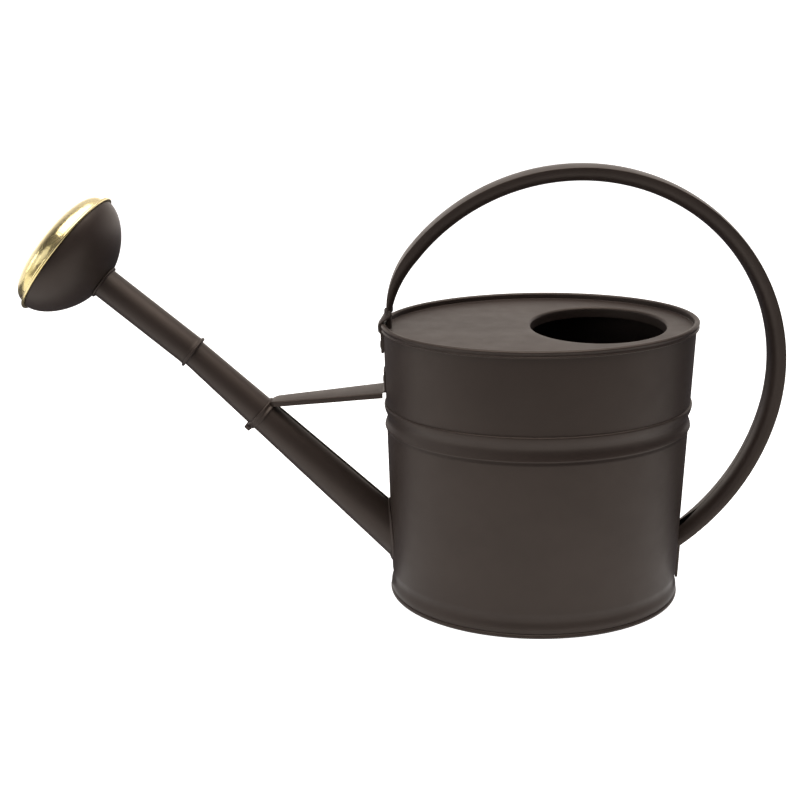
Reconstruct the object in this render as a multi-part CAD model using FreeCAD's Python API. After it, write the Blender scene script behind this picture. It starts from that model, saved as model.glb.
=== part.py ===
import FreeCAD, Part
import math
import os

# Oval sheet-metal watering can, in millimetres.
# Origin: centre of the oval foot, on the ground. +Z is up, the spout points to -X, the handle is at +X.
# The can is symmetric about the XZ plane.

V = FreeCAD.Vector
Y_AXIS = V(0, 1, 0)
Z_AXIS = V(0, 0, 1)

# ---- driving dimensions -------------------------------------------------------------------------
HALF_LENGTH = 128.0        # half of the oval wall's length, along X
HALF_WIDTH = 91.2          # half of the oval wall's width, along Y
SHEET = 1.0                # thickness of the wall, lid and spout sheet
GAP = 0.04                 # space left between two sheets that lie against each other

RIM_TOP = 251.4            # top of the folded seam that joins the lid to the wall
RIM_HEIGHT = 5.8
RIM_OUT = 2.1              # how far the seam stands out of the wall
RIM_IN = 2.4               # how far it reaches inwards
LID_TOP = 246.4            # upper face of the sunken lid
HOLE_X = 49.0              # centre of the filling hole
HOLE_R = 55.0
HOLE_COLLAR = 8.6          # depth of the hole's turned-down collar
HOLE_LIP = 2.4             # rounding between lid and collar

GROOVE_DEPTH = 0.7         # the wall draws in between its two swaged ridges
RIDGE_HEIGHT = 1.6
UPPER_RIDGE_Z = 180.6
LOWER_RIDGE_Z = 163.0

FOOT_TOP = 17.0            # upper crease of the bulged foot band
FOOT_BULGE = 1.2
FOOT_ROLL_R = 2.2          # rolled edge that the can stands on
BASE_PLATE_Z = 6.8         # upper face of the recessed bottom

SPOUT_X = -131.0           # a point of the spout's axis, just outside the wall
SPOUT_Z = 62.0
SPOUT_ANGLE = 45.6         # rise of the spout, degrees above the ground
SPOUT_LENGTH = 230.8       # from that point to the mouth of the rose's sleeve
SPOUT_R_LOW = 18.8
SPOUT_R_TIP = 11.9

ROSE_ANGLE = 41.7          # rise of the rose's axis, which droops a little from the spout's
SLEEVE_LENGTH = 95.0
SLEEVE_BORE_R = 12.35
SLEEVE_R_MOUTH = 13.5
SLEEVE_R_TOP = 13.0
MOUTH_RING_R = 15.1
MOUTH_RING_WIDTH = 2.6
RUNNING_GAP = 0.05         # radial clearance of the turning and sliding fits
SPIGOT_LENGTH = 42.0
NECK_RING_R = 15.2
NECK_RING_WIDTH = 1.7
BOWL_START = 93.0          # stations along the rose's axis, from the sleeve's mouth
BOWL_END = 127.6
BOWL_R = 55.2
BOWL_SHEET = 0.8
FACE_RIM_R = 57.6
FACE_ROLL_R = 1.3
FACE_LEDGE = 2.6           # flat ledge between the rolled edge and the dome
FACE_HEIGHT = 18.9
FACE_FULLNESS = 0.70        # 1 is an ellipse; less gives the dome fuller shoulders
FACE_HOLE_R = 0.9
FACE_HOLE_RINGS = 5
FACE_HOLE_PITCH = 10.6

STRUT_BODY_Z = 193.2       # upper face of the brace where it meets the wall
STRUT_SPOUT_X = -222.5
STRUT_SPOUT_Z = 184.3
STRUT_HALF_BODY = 15.0
STRUT_HALF_SPOUT = 9.5
STRUT_FLANGE = 4.7
STRUT_SHEET = 1.2
STRUT_TAB_TOP = 211.0
STRUT_TAB_HALF = 12.0
CLAMP_STATION = 152.4      # along the spout's axis
CLAMP_WIDTH = 6.0
CLAMP_SHEET = 1.5
CLAMP_EAR = 4.6
CLAMP_RIVET_DROP = 3.7     # from the spout's side down to the rivet through the ears

HOOP_X = 27.7              # centre of the handle's main arc
HOOP_Z = 199.1
HOOP_OUTER_R = 174.6
HOOP_REAR_R = 205.0        # the flatter arc that runs down to the wall's rear
HOOP_REAR_START = -10.0    # degrees above the horizontal, where that arc begins
HOOP_REAR_SWEEP = 46.0
HOOP_FRONT_R = 82.0        # the tighter arc that turns the handle down to the rim
HOOP_FRONT_X = -125.2      # outer face of the handle's upright front end
HOOP_WIDTH = 28.0
HOOP_DEPTH = 12.4
HOOP_END_WIDTH = 12.0
HOOP_END_DEPTH = 4.4
HOOP_TAPER = 1.5           # above 1, the front end keeps its width longer before it narrows
HOOP_SHEET = 0.9
HOOP_CROWN = 1.3           # how far the outer face is domed
HOOP_LIP = 13.4            # the edges turned in on the inner side, nearly meeting
HOOP_CORNER = 5.6          # rounding between the sides and those edges
TONGUE_HALF = 11.0         # flattened rear end, riveted to the wall
TONGUE_LOW = 15.0
TONGUE_THICK = 2.2

CLIP_HALF = 8.5
CLIP_SHEET = 1.3
CLIP_TAB = 2.5             # the strap is folded double where it lies against the wall
CLIP_TOP = 262.0
CLIP_LOW = 226.0

RIVET_SHANK_R = 2.0
RIVET_HEAD_R = 3.6
RIVET_HEAD_H = 0.7


# ---- shapes on the oval --------------------------------------------------------------------------
def oval_edge(offset, z):
    """The oval at a height, moved out from the wall by an offset."""
    return Part.Ellipse(V(0, 0, z), HALF_LENGTH + offset, HALF_WIDTH + offset).toShape()


def oval_ring(section):
    """A closed ring whose cross-section is a closed outline of (offset, z) points."""
    edges = [oval_edge(offset, z) for offset, z in section]
    faces = []
    for index, (offset, z) in enumerate(section):
        following = (index + 1) % len(section)
        other_offset, other_z = section[following]
        if abs(other_z - z) < 1e-6:
            pair = [Part.Wire([edges[index]]), Part.Wire([edges[following]])]
            if other_offset > offset:
                pair.reverse()
            faces.append(Part.makeFace(pair, "Part::FaceMakerBullseye"))
        else:
            faces.append(Part.makeRuledSurface(edges[index], edges[following]))
    skin = Part.makeCompound(faces)
    skin.sewShape()
    return outward(Part.Solid(Part.Shell(skin.Faces)))


def oval_column(offset, low, high):
    """A solid oval column."""
    face = Part.Face(Part.Wire([oval_edge(offset, low)]))
    return face.extrude(V(0, 0, high - low))


def outward(solid):
    """The same solid with its faces pointing outwards."""
    if solid.Volume < 0:
        solid.reverse()
    return solid


def rise(z, low, high):
    """A smooth step: 0 below low, 1 above high."""
    t = min(1.0, max(0.0, (z - low) / (high - low)))
    return t * t * (3.0 - 2.0 * t)


def wall_offset(z):
    """How far the wall's outer face stands from the plain oval at a height."""
    groove = rise(z, 150.0, 157.0) * (1.0 - rise(z, 183.4, 191.0))
    upper = rise(z, 171.5, UPPER_RIDGE_Z) * (1.0 - rise(z, UPPER_RIDGE_Z, 183.2))
    lower = rise(z, 159.6, LOWER_RIDGE_Z) * (1.0 - rise(z, LOWER_RIDGE_Z, 171.5))
    neck = rise(z, 4.0, FOOT_TOP) * (1.0 - rise(z, FOOT_TOP, 26.0))
    bulge = 1.0 - rise(z, 5.0, FOOT_TOP - 1.0)
    return RIDGE_HEIGHT * (upper + lower) - GROOVE_DEPTH * groove + FOOT_BULGE * bulge - 0.6 * neck


def wall_levels(low, high):
    """Heights at which the wall's outline needs a point."""
    bands = ((low, 26.0, 12), (26.0, 150.0, 1), (150.0, 159.0, 4), (159.0, 164.0, 6),
             (164.0, 179.0, 8), (179.0, 184.0, 7), (184.0, 191.0, 4), (191.0, high, 1))
    levels = [low]
    for start, end, steps in bands:
        levels += [start + (end - start) * (k + 1) / steps for k in range(steps)]
    return levels


# ---- shapes on a tilted axis ----------------------------------------------------------------------
def tilt(shape, x, z, angle):
    """Turn a shape built along +Z so that +Z points up the spout, and move it to a point."""
    shape = shape.copy()
    shape.rotate(V(0, 0, 0), Y_AXIS, -(90.0 - angle))
    shape.translate(V(x, 0, z))
    return shape


def on_spout(shape):
    return tilt(shape, SPOUT_X, SPOUT_Z, SPOUT_ANGLE)


def on_rose(shape):
    run = math.radians(SPOUT_ANGLE)
    mouth_x = SPOUT_X - SPOUT_LENGTH * math.cos(run)
    mouth_z = SPOUT_Z + SPOUT_LENGTH * math.sin(run)
    return tilt(shape, mouth_x, mouth_z, ROSE_ANGLE)


def turned(outline):
    """A solid of revolution about Z from a closed outline of (radius, height) points."""
    points = [V(radius, 0, height) for radius, height in outline]
    face = Part.Face(Part.makePolygon(points + [points[0]]))
    return outward(face.revolve(V(0, 0, 0), Z_AXIS, 360))


def tube(outer, inner, low, high):
    return turned([(inner, low), (outer, low), (outer, high), (inner, high)])


def spout_radius(station):
    return SPOUT_R_LOW + (SPOUT_R_TIP - SPOUT_R_LOW) * station / SPOUT_LENGTH


def arc_points(centre_u, centre_v, radius_u, radius_v, start, end, steps):
    """Points of an elliptical arc, angles in degrees."""
    points = []
    for k in range(steps + 1):
        angle = math.radians(start + (end - start) * k / steps)
        points.append((centre_u + radius_u * math.cos(angle), centre_v + radius_v * math.sin(angle)))
    return points


def rivet(x, y, z, direction, grip, head_r=RIVET_HEAD_R, shank_r=RIVET_SHANK_R):
    """A domed rivet. The point lies under its head, the direction points out of the head."""
    head = arc_points(0, 0, head_r, RIVET_HEAD_H, 0, 90, 6)
    tail_r = 0.85 * head_r
    tail = [(tail_r, -grip), (shank_r, -grip), (shank_r, 0)]
    outline = [(0, -grip - 0.8), (0.7 * tail_r, -grip - 0.8)] + tail + head[:-1] + [(0, RIVET_HEAD_H)]
    shape = turned(outline)
    shape.Placement = FreeCAD.Placement(V(x, y, z), FreeCAD.Rotation(Z_AXIS, direction))
    return shape


def rivet_hole(x, y, z, direction, grip, shank_r=RIVET_SHANK_R):
    start = V(x, y, z) + direction * 3.0
    return Part.makeCylinder(shank_r + 0.1, grip + 8.0, start, direction * -1.0)


def box(x0, x1, y0, y1, z0, z1):
    return Part.makeBox(x1 - x0, y1 - y0, z1 - z0, V(x0, y0, z0))


# ---- rivet places ----------------------------------------------------------------------------------
def oval_point(offset, y, z, side):
    """A point of the oval and its outward direction; side is -1 at the spout, +1 at the rear."""
    a = HALF_LENGTH + offset
    b = HALF_WIDTH + offset
    x = side * a * math.sqrt(1.0 - (y / b) ** 2)
    return V(x, y, z), V(x / a ** 2, y / b ** 2, 0).normalize()


def wall_rivet(offset, y, z, side):
    point, normal = oval_point(offset + GAP, y, z, side)
    drawn_in = -min(wall_offset(z - RIVET_HEAD_R), wall_offset(z + RIVET_HEAD_R))
    grip = offset + SHEET + 4 * GAP + drawn_in
    return point, normal, grip


STRUT_RIVETS = [wall_rivet(STRUT_SHEET, y, 203.0, -1) for y in (-6.5, 6.5)]
FOOT_RIVETS = [wall_rivet(TONGUE_THICK, 0, z, 1) for z in (20.0, 36.0)]
CLIP_RIVETS = [wall_rivet(CLIP_TAB, y, 232.5, -1) for y in (-4.4, 4.4)]


def rivets(places):
    return Part.makeCompound([rivet(p.x, p.y, p.z, n, grip) for p, n, grip in places])


def drill(shape, places):
    for p, n, grip in places:
        shape = shape.cut(rivet_hole(p.x, p.y, p.z, n, grip))
    return shape


# ---- body ------------------------------------------------------------------------------------------
WALL_TOP = RIM_TOP - 1.9


def body_shell():
    """The oval wall with its swaged ridges, bulged foot band and rolled lower edge."""
    low = 2 * FOOT_ROLL_R
    levels = wall_levels(low, WALL_TOP)
    outer = [(wall_offset(z), z) for z in levels]
    inner = [(wall_offset(z) - SHEET, z) for z in reversed(levels)]
    roll_centre = -0.1
    roll = arc_points(roll_centre, FOOT_ROLL_R, FOOT_ROLL_R, FOOT_ROLL_R, 180, 255, 4)
    roll[-1] = (roll[-1][0], 0.0)
    roll += [(roll_centre + 0.7, 0.0)]
    roll += arc_points(roll_centre, FOOT_ROLL_R, FOOT_ROLL_R, FOOT_ROLL_R, 300, 405, 6)
    shell = oval_ring(outer + inner + roll)
    bore = on_spout(Part.makeCone(spout_radius(-40) - SHEET, spout_radius(60) - SHEET, 100, V(0, 0, -40)))
    shell = shell.cut(bore)
    return drill(shell, STRUT_RIVETS + FOOT_RIVETS + CLIP_RIVETS)


def bottom_plate():
    """A shallow pan, turned upside down, inside the foot band."""
    edge = wall_offset(BASE_PLATE_Z) - SHEET - 0.15
    pan = oval_column(edge, 2 * FOOT_ROLL_R + GAP, BASE_PLATE_Z)
    return pan.cut(oval_column(edge - SHEET, 0, BASE_PLATE_Z - SHEET))


def lid():
    """Sunken lid with its folded seam over the wall and the hole's turned-down collar."""
    half = (RIM_OUT + RIM_IN) / 2.0
    middle = (RIM_OUT - RIM_IN) / 2.0
    crown = arc_points(middle, RIM_TOP - 1.5, half, 1.5, 0, 180, 8)
    seam = [(0.9 * RIM_OUT, RIM_TOP - RIM_HEIGHT), (RIM_OUT, RIM_TOP - RIM_HEIGHT + 0.6)] + crown
    seam += [(-RIM_IN, LID_TOP - SHEET), (-SHEET - GAP, LID_TOP - SHEET), (-SHEET - GAP, WALL_TOP + GAP)]
    seam += [(GAP, WALL_TOP + GAP), (GAP, RIM_TOP - RIM_HEIGHT)]
    plate = oval_column(-RIM_IN + 0.5, LID_TOP - SHEET, LID_TOP)
    opening = Part.makeCylinder(HOLE_R + HOLE_LIP, 3 * SHEET, V(HOLE_X, 0, LID_TOP - 2 * SHEET))
    lip = arc_points(HOLE_R + HOLE_LIP, LID_TOP - HOLE_LIP, HOLE_LIP, HOLE_LIP, 90, 180, 6)
    under = HOLE_LIP - SHEET
    back = arc_points(HOLE_R + HOLE_LIP, LID_TOP - HOLE_LIP, under, under, 180, 90, 6)
    end = [(HOLE_R, LID_TOP - HOLE_COLLAR), (HOLE_R + SHEET, LID_TOP - HOLE_COLLAR)]
    collar = turned(lip + end + back)
    collar.translate(V(HOLE_X, 0, 0))
    return oval_ring(seam).fuse([plate.cut(opening), collar]).removeSplitter()


# ---- spout and its brace -----------------------------------------------------------------------------
def spout():
    """A tapered tube, cut to the wall at its foot and square to the rose's axis at its tip."""
    low, high = -45.0, SPOUT_LENGTH + 8.0
    outer = Part.makeCone(spout_radius(low), spout_radius(high), high - low, V(0, 0, low))
    inner = Part.makeCone(spout_radius(low) - SHEET, spout_radius(high) - SHEET, high - low, V(0, 0, low))
    cone = on_spout(outer.cut(inner))
    cone = cone.cut(oval_column(GAP + wall_offset(60), -50, 260))
    beyond = on_rose(Part.makeBox(80, 80, 60, V(-40, -40, 0.8)))
    return cone.cut(beyond)


def spout_spigot():
    """The turned bush in the spout's end that the rose's sleeve slides and turns on."""
    outer = SLEEVE_BORE_R - RUNNING_GAP
    neck = SPOUT_R_TIP - SHEET - 0.9
    outline = [(neck - 0.9, -9), (neck, -9), (neck, 0.9), (outer, 0.9), (outer, SPIGOT_LENGTH),
               (outer - SHEET, SPIGOT_LENGTH), (outer - SHEET, 2.4), (neck - 0.9, 2.4)]
    return on_rose(turned(outline))


def channel_wire(x, z, half, depth, sheet):
    """The brace's downward-open channel section in a plane of constant x."""
    outline = [(-half, 0), (half, 0), (half, -depth), (half - sheet, -depth),
               (half - sheet, -sheet), (sheet - half, -sheet), (sheet - half, -depth), (-half, -depth)]
    points = [V(x, y, z + dz) for y, dz in outline]
    return Part.makePolygon(points + [points[0]])


def plate_between(x0, z0, half0, x1, z1, half1, sheet):
    """A flat plate that narrows from one cross-section to another."""
    wires = []
    for x, z, half in ((x0, z0, half0), (x1, z1, half1)):
        points = [V(x, -half, z), V(x, half, z), V(x, half, z - sheet), V(x, -half, z - sheet)]
        wires.append(Part.makePolygon(points + [points[0]]))
    return Part.makeLoft(wires, True, True)


def strut():
    """The channel brace, its tab turned up against the wall and its nose over the clamp."""
    wall_x = -HALF_LENGTH - STRUT_SHEET
    inner = channel_wire(wall_x, STRUT_BODY_Z, STRUT_HALF_BODY, STRUT_FLANGE, STRUT_SHEET)
    outer = channel_wire(STRUT_SPOUT_X, STRUT_SPOUT_Z, STRUT_HALF_SPOUT, STRUT_FLANGE, STRUT_SHEET)
    channel = outward(Part.makeLoft([inner, outer], True, True))
    web = plate_between(-120, STRUT_BODY_Z + 0.9, STRUT_TAB_HALF, wall_x - 1.0, STRUT_BODY_Z - 0.05,
                        STRUT_TAB_HALF, STRUT_SHEET)
    band = oval_ring([(GAP, STRUT_BODY_Z - 1.0), (GAP + STRUT_SHEET, STRUT_BODY_Z - 1.0),
                      (GAP + STRUT_SHEET, STRUT_TAB_TOP), (GAP, STRUT_TAB_TOP)])
    tab = band.common(box(-140, -100, -STRUT_TAB_HALF, STRUT_TAB_HALF, 180, 220))
    nose = plate_between(STRUT_SPOUT_X + 0.5, STRUT_SPOUT_Z + 0.05, STRUT_HALF_SPOUT,
                         STRUT_SPOUT_X - 6.5, STRUT_SPOUT_Z - 0.6, 4.5, STRUT_SHEET)
    wall = oval_column(GAP, 150, 230)
    bare = channel.fuse([web, nose]).cut(wall).cut(clamp_space())
    return drill(bare.fuse(tab).removeSplitter(), STRUT_RIVETS)


def clamp_space():
    """The room that the clamp's band takes up, with a gap round it."""
    low = CLAMP_STATION - CLAMP_WIDTH / 2 - GAP
    high = CLAMP_STATION + CLAMP_WIDTH / 2 + GAP
    around = CLAMP_SHEET + 2 * GAP
    cone = Part.makeCone(spout_radius(low) + around, spout_radius(high) + around, high - low, V(0, 0, low))
    return on_spout(cone)


def spout_clamp():
    """The split band round the spout, with its two ears pinched together below."""
    low = CLAMP_STATION - CLAMP_WIDTH / 2
    high = CLAMP_STATION + CLAMP_WIDTH / 2
    near, far = spout_radius(low) + GAP, spout_radius(high) + GAP
    band = turned([(near, low), (near + CLAMP_SHEET, low), (far + CLAMP_SHEET, high), (far, high)])
    middle = spout_radius(CLAMP_STATION)
    ears = Part.makeBox(CLAMP_EAR + 1.0, 2 * CLAMP_SHEET + 0.4, CLAMP_WIDTH,
                        V(-middle - CLAMP_EAR - 1.2, -CLAMP_SHEET - 0.2, low))
    slit = Part.makeBox(CLAMP_EAR + 6.0, 0.4, CLAMP_WIDTH + 2, V(-middle - CLAMP_EAR - 3.0, -0.2, low - 1))
    hole = Part.makeCylinder(1.2, 12, V(-middle - CLAMP_RIVET_DROP, -6, CLAMP_STATION), Y_AXIS)
    bore = turned([(0, low - 1), (near, low - 1), (far, high + 1), (0, high + 1)])
    return on_spout(band.fuse(ears.cut(bore)).removeSplitter().cut(slit).cut(hole))


def clamp_rivet():
    middle = spout_radius(CLAMP_STATION)
    reach = CLAMP_SHEET + 0.2 + GAP
    shape = rivet(-middle - CLAMP_RIVET_DROP, -reach, CLAMP_STATION, V(0, -1, 0), 2 * reach,
                  head_r=1.9, shank_r=1.1)
    return on_spout(shape)


# ---- handle ---------------------------------------------------------------------------------------
def hoop_section(width, depth):
    """The handle's channel as a closed outline: each step is (end, via), via None for a straight line.

    Points are (out, across). The outer face lies at out = 0 and is slightly domed; the edges turn
    in on the inner side and leave a slot between them.
    """
    half, t = width / 2.0, HOOP_SHEET
    crown = HOOP_CROWN * width / HOOP_WIDTH
    corner = min(HOOP_CORNER, depth / 2.2)
    slot = half - min(HOOP_LIP, half - 1.5)
    flat = half - corner
    low, up = -depth, corner - depth

    def bend(side, inset):
        """The middle of a rounded corner, on the outer skin or one sheet inside it."""
        cut_off = (corner - inset) * (1.0 - math.sqrt(0.5))
        return inset - depth + cut_off, side * (half - inset - cut_off)

    return [
        ((low, slot), None), ((low, flat), None), ((up, half), bend(1, 0)), ((-crown, half), None),
        ((-crown, -half), (0.0, 0.0)), ((up, -half), None), ((low, -flat), bend(-1, 0)),
        ((low, -slot), None), ((low + t, -slot), None), ((low + t, -flat), None),
        ((up, t - half), bend(-1, t)), ((-crown - t, t - half), None),
        ((-crown - t, half - t), (-t, 0.0)), ((up, half - t), None),
        ((low + t, flat), bend(1, t)), ((low + t, slot), None),
    ]


def section_wire(width, depth, centre_x, centre_z, radius, angle, drop=0.0):
    """The handle's section placed on an arc in the XZ plane, at an angle above the horizontal."""
    run = math.radians(angle)

    def place(point):
        reach = radius + point[0]
        return V(centre_x + reach * math.cos(run), point[1], centre_z + reach * math.sin(run) - drop)

    steps = hoop_section(width, depth)
    edges = []
    here = place(steps[-1][0])
    for end, via in steps:
        there = place(end)
        if via is None:
            edges.append(Part.LineSegment(here, there).toShape())
        else:
            edges.append(Part.Arc(here, place(via), there).toShape())
        here = there
    return Part.Wire(edges)


def handle():
    """The hoop: front end, main arc, rear arc and the tongue flattened against the wall."""
    cos_front = (HOOP_FRONT_X + HOOP_FRONT_R - HOOP_X) / (HOOP_OUTER_R - HOOP_FRONT_R)
    front_start = math.degrees(math.acos(cos_front))
    step = HOOP_OUTER_R - HOOP_FRONT_R
    front_x = HOOP_X + step * math.cos(math.radians(front_start))
    front_z = HOOP_Z + step * math.sin(math.radians(front_start))

    full = section_wire(HOOP_WIDTH, HOOP_DEPTH, HOOP_X, HOOP_Z, HOOP_OUTER_R, HOOP_REAR_START)
    main = Part.Face(full).revolve(V(HOOP_X, 0, HOOP_Z), V(0, -1, 0), front_start - HOOP_REAR_START)

    back = HOOP_OUTER_R - HOOP_REAR_R
    rear_x = HOOP_X + back * math.cos(math.radians(HOOP_REAR_START))
    rear_z = HOOP_Z + back * math.sin(math.radians(HOOP_REAR_START))
    rear = Part.Face(full).revolve(V(rear_x, 0, rear_z), Y_AXIS, HOOP_REAR_SWEEP)
    rear = rear.cut(oval_column(GAP, -10, 240))

    wires = []
    stations = 5
    for k in range(stations + 1):
        angle = front_start + (180.0 - front_start) * k / stations
        share = (k / stations) ** HOOP_TAPER
        width = HOOP_WIDTH + (HOOP_END_WIDTH - HOOP_WIDTH) * share
        depth = HOOP_DEPTH + (HOOP_END_DEPTH - HOOP_DEPTH) * share
        wires.append(section_wire(width, depth, front_x, front_z, HOOP_FRONT_R, angle))
    drop = front_z - RIM_TOP - 0.6
    wires.append(section_wire(HOOP_END_WIDTH, HOOP_END_DEPTH, front_x, front_z, HOOP_FRONT_R, 180.0, drop))
    front = Part.makeLoft(wires[:-1], True, False)
    post = Part.makeLoft(wires[-2:], True, True)
    pin = box(HOOP_FRONT_X + 0.6, HOOP_FRONT_X + 2.4, -4.6, 4.6, LID_TOP + GAP, RIM_TOP + 6.0)

    strap = oval_ring([(GAP, TONGUE_LOW), (GAP + TONGUE_THICK, TONGUE_LOW),
                       (GAP + TONGUE_THICK, 49.0), (GAP, 49.0)])
    tongue = drill(strap.common(box(100, 140, -TONGUE_HALF, TONGUE_HALF, 0, 60)), FOOT_RIVETS)
    pieces = [outward(s) for s in (rear, front, post)] + [pin, tongue]
    return outward(main).fuse(pieces).removeSplitter()


def handle_clip():
    """The strap from the handle's front end, out over the rim and down the wall."""
    under = RIM_TOP - RIM_HEIGHT
    start = 0.45 - (HOOP_FRONT_X + HALF_LENGTH)
    over = RIM_OUT + 3 * GAP
    inner = [(start, CLIP_TOP), (start, CLIP_TOP - 4.0), (over, RIM_TOP - 0.6), (over, under - 0.2),
             (GAP, under - 2.4), (GAP, CLIP_LOW)]
    outer = [(GAP + CLIP_TAB, CLIP_LOW), (GAP + CLIP_TAB, under - 2.6),
             (over + CLIP_SHEET, under - 0.9), (over + CLIP_SHEET, RIM_TOP),
             (start + CLIP_SHEET, CLIP_TOP - 3.4), (start + CLIP_SHEET, CLIP_TOP)]
    strap = oval_ring(inner + outer)
    strap = strap.common(box(-140, -100, -CLIP_HALF, CLIP_HALF, CLIP_LOW - 1, CLIP_TOP + 1))
    return drill(strap, CLIP_RIVETS)


# ---- rose -----------------------------------------------------------------------------------------
def mouth_ring():
    """The rolled ring round the sleeve's mouth, free to turn on the sleeve."""
    inner = SLEEVE_R_MOUTH + RUNNING_GAP
    radius = MOUTH_RING_WIDTH / 2
    rounded = arc_points(MOUTH_RING_R - 0.8, 0, 0.8, radius, -90, 90, 8)
    return on_rose(turned([(inner, -radius)] + rounded + [(inner, radius)]))


def rose_sleeve():
    """The long socket that slides over the spigot."""
    straight = MOUTH_RING_WIDTH
    mouth = -MOUTH_RING_WIDTH / 2
    outline = [(SLEEVE_BORE_R, mouth), (SLEEVE_R_MOUTH, mouth), (SLEEVE_R_MOUTH, straight),
               (SLEEVE_R_TOP, SLEEVE_LENGTH - 8), (SLEEVE_R_TOP, SLEEVE_LENGTH),
               (SLEEVE_BORE_R, SLEEVE_LENGTH)]
    return on_rose(turned(outline))


def rose_neck_ring():
    """The thin collar where the sleeve enters the bowl."""
    inner = SLEEVE_R_TOP + GAP
    return on_rose(tube(NECK_RING_R, inner, BOWL_START - GAP - NECK_RING_WIDTH, BOWL_START - GAP))


def bowl_outline(shrink, steps):
    """Points of the bowl's profile from neck to rim, moved in by a distance."""
    points = []
    neck = SLEEVE_R_TOP + GAP
    for k in range(steps + 1):
        angle = math.pi / 2 * k / steps
        station = BOWL_START + (BOWL_END - BOWL_START) * (1.0 - math.cos(angle) ** 1.16)
        radius = neck + (BOWL_R - neck) * math.sin(angle) ** 1.33
        points.append((max(neck, radius - shrink * math.sin(angle)), station + shrink * math.cos(angle)))
    return points


def smooth_turned(outer, inner):
    """A thin shell of revolution between two smooth profiles that share their ends' order."""
    edges = []
    for points in (outer, inner):
        curve = Part.BSplineCurve()
        curve.interpolate([V(radius, 0, height) for radius, height in points])
        edges.append(curve.toShape())
    first = Part.LineSegment(V(outer[0][0], 0, outer[0][1]), V(inner[0][0], 0, inner[0][1])).toShape()
    last = Part.LineSegment(V(outer[-1][0], 0, outer[-1][1]), V(inner[-1][0], 0, inner[-1][1])).toShape()
    face = Part.Face(Part.Wire([first, edges[1], last, edges[0]]))
    return outward(face.revolve(V(0, 0, 0), Z_AXIS, 360))


def rose_bowl():
    return on_rose(smooth_turned(bowl_outline(0.0, 12), bowl_outline(BOWL_SHEET, 12)))


def face_holes():
    """Rings of small holes over the middle of the dome, as one compound of drills."""
    drills = []
    for ring in range(FACE_HOLE_RINGS):
        count = max(1, 6 * ring)
        for k in range(count):
            angle = 2 * math.pi * (k + 0.5 * (ring % 2)) / count
            radius = ring * FACE_HOLE_PITCH
            at = V(radius * math.cos(angle), radius * math.sin(angle), BOWL_END)
            drills.append(Part.makeCylinder(FACE_HOLE_R, FACE_HEIGHT + 5, at))
    return Part.makeCompound(drills)


def rose_face():
    """The domed, perforated brass face with its edge rolled over the bowl's."""
    foot = BOWL_END + GAP + FACE_ROLL_R
    centre = FACE_RIM_R - FACE_ROLL_R
    outer, inner = [], []
    for k in range(15):
        angle = math.pi / 2 * k / 14
        radius = (centre - FACE_LEDGE) * math.cos(angle) ** FACE_FULLNESS
        height = foot + (FACE_HEIGHT - FACE_ROLL_R) * math.sin(angle) ** FACE_FULLNESS
        outer.append((radius, height))
        inner.append((max(0.0, radius - 0.8 * math.cos(angle)), height - 0.8 * math.sin(angle)))
    dome = smooth_turned(outer, inner)
    rim = Part.makeTorus(centre, FACE_ROLL_R, V(0, 0, foot), Z_AXIS)
    ledge = tube(centre, centre - FACE_LEDGE - 0.5, foot - 0.4, foot + 0.4)
    shape = dome.fuse([rim, ledge]).removeSplitter()
    return on_rose(shape.cut(face_holes()))


# ---- output ---------------------------------------------------------------------------------------
NODES = {
    "body_shell": body_shell,
    "bottom_plate": bottom_plate,
    "lid": lid,
    "spout": spout,
    "spout_spigot": spout_spigot,
    "strut": strut,
    "strut_rivets": lambda: rivets(STRUT_RIVETS),
    "spout_clamp": spout_clamp,
    "clamp_rivet": clamp_rivet,
    "handle": handle,
    "handle_clip": handle_clip,
    "clip_rivets": lambda: rivets(CLIP_RIVETS),
    "foot_rivets": lambda: rivets(FOOT_RIVETS),
    "mouth_ring": mouth_ring,
    "rose_sleeve": rose_sleeve,
    "rose_neck_ring": rose_neck_ring,
    "rose_bowl": rose_bowl,
    "rose_face": rose_face,
}

os.makedirs("parts", exist_ok=True)
for name, make in NODES.items():
    piece = make()
    piece.exportStep(os.path.join("parts", name + ".step"))
    box_ = piece.BoundBox
    print(name, "valid", piece.isValid(), "solids", len(piece.Solids), "volume", round(piece.Volume),
          "x", round(box_.XMin, 1), round(box_.XMax, 1), "z", round(box_.ZMin, 1), round(box_.ZMax, 1))
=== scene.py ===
import math

import bmesh
import bpy
from mathutils import Matrix, Vector


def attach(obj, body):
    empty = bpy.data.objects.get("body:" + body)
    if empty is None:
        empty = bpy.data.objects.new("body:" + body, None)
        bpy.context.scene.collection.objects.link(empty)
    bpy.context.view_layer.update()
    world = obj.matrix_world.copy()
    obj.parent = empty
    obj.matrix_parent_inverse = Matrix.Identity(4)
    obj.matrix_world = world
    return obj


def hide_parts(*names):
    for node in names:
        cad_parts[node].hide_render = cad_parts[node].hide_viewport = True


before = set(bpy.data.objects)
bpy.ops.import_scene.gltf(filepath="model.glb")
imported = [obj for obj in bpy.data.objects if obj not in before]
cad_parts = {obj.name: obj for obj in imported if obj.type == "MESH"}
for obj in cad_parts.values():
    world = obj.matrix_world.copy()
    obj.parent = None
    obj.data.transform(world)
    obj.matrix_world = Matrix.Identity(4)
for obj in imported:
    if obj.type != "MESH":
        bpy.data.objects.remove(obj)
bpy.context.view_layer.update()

# Looks of an oval sheet-metal watering can. Lengths below are in millimetres unless they say otherwise.
MM = 0.001

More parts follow.
